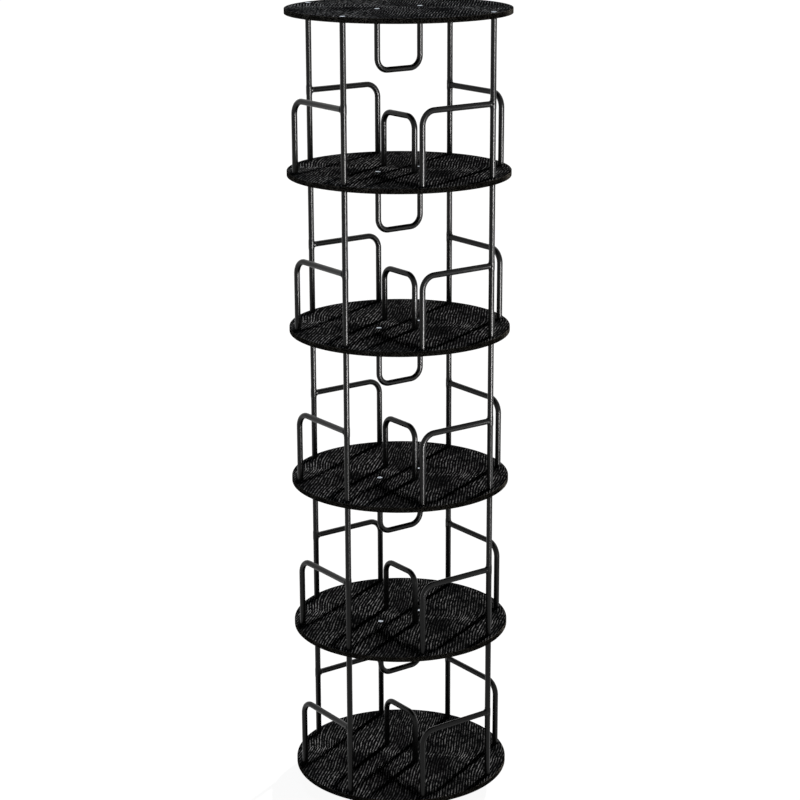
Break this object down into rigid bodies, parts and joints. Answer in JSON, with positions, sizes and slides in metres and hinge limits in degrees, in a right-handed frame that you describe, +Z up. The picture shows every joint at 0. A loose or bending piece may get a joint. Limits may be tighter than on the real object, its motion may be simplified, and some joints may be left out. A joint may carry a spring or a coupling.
{
  "type": "revolving bookcase",
  "caption": "Tall round revolving bookcase: black wood-grain discs on bent black steel tube, with guard rails and divider loops on each tier, turning on a ball-bearing base.",
  "frame": {"origin": "on the turning axis at floor level", "axes": "+Z up along the turning axis, +X out through a book bay, with the other bays at +Y, -X and -Y"},
  "size_m": [0.4, 0.4, 1.4634],
  "materials": {
    "boards": "black wood-grain laminate with fine open pores, satin",
    "tubes": "satin black powder coat on round steel tube",
    "fasteners": "bright zinc plate",
    "turntable": "bare pressed steel",
    "foot": "matt black rubber"
  },
  "bodies": {
    "base": {"base_board": "boards", "foot_ring": "foot", "turntable_lower_plate": "turntable", "turntable_pivot": "turntable"},
    "tower": {"turntable_upper_plate": "turntable", "bottom_board": "boards", "shelf_board_1": "boards", "shelf_board_2": "boards", "shelf_board_3": "boards", "shelf_board_4": "boards", "top_board": "boards", "tier1_side_frame_ne": "tubes", "tier1_side_frame_nw": "tubes", "tier1_side_frame_sw": "tubes", "tier1_side_frame_se": "tubes", "tier2_side_frame_ne": "tubes", "tier2_side_frame_nw": "tubes", "tier2_side_frame_sw": "tubes", "tier2_side_frame_se": "tubes", "tier3_side_frame_ne": "tubes", "tier3_side_frame_nw": "tubes", "tier3_side_frame_sw": "tubes", "tier3_side_frame_se": "tubes", "tier4_side_frame_ne": "tubes", "tier4_side_frame_nw": "tubes", "tier4_side_frame_sw": "tubes", "tier4_side_frame_se": "tubes", "tier5_side_frame_ne": "tubes", "tier5_side_frame_nw": "tubes", "tier5_side_frame_sw": "tubes", "tier5_side_frame_se": "tubes", "tier1_standing_loop": "tubes", "tier2_standing_loop": "tubes", "tier3_standing_loop": "tubes", "tier4_standing_loop": "tubes", "tier5_standing_loop": "tubes", "tier1_hanging_loop": "tubes", "tier2_hanging_loop": "tubes", "tier3_hanging_loop": "tubes", "tier4_hanging_loop": "tubes", "tier5_hanging_loop": "tubes", "post_screw_ne": "fasteners", "post_screw_nw": "fasteners", "post_screw_sw": "fasteners", "post_screw_se": "fasteners", "tier1_loop_screw_ne": "fasteners", "tier1_loop_screw_sw": "fasteners", "tier2_loop_screw_ne": "fasteners", "tier2_loop_screw_sw": "fasteners", "tier3_loop_screw_ne": "fasteners", "tier3_loop_screw_sw": "fasteners", "tier4_loop_screw_ne": "fasteners", "tier4_loop_screw_sw": "fasteners", "tier5_loop_screw_ne": "fasteners", "tier5_loop_screw_sw": "fasteners", "post_nut_ne": "fasteners", "post_nut_nw": "fasteners", "post_nut_sw": "fasteners", "post_nut_se": "fasteners"},
    "ball_ring": {"turntable_ball_ring": "turntable"}
  },
  "joints": [
    {"name": "tower_spin", "type": "hinge", "parent": "base", "child": "tower", "pos_m": [0, 0, 0.0291], "axis": [0, 0, 1], "continuous": true},
    {"name": "ball_ring_spin", "type": "hinge", "parent": "base", "child": "ball_ring", "pos_m": [0, 0, 0.0291], "axis": [0, 0, 1], "continuous": true}
  ],
  "couplings": [
    {"joint": "ball_ring_spin", "follows": "tower_spin", "ratio": 0.5}
  ]
}
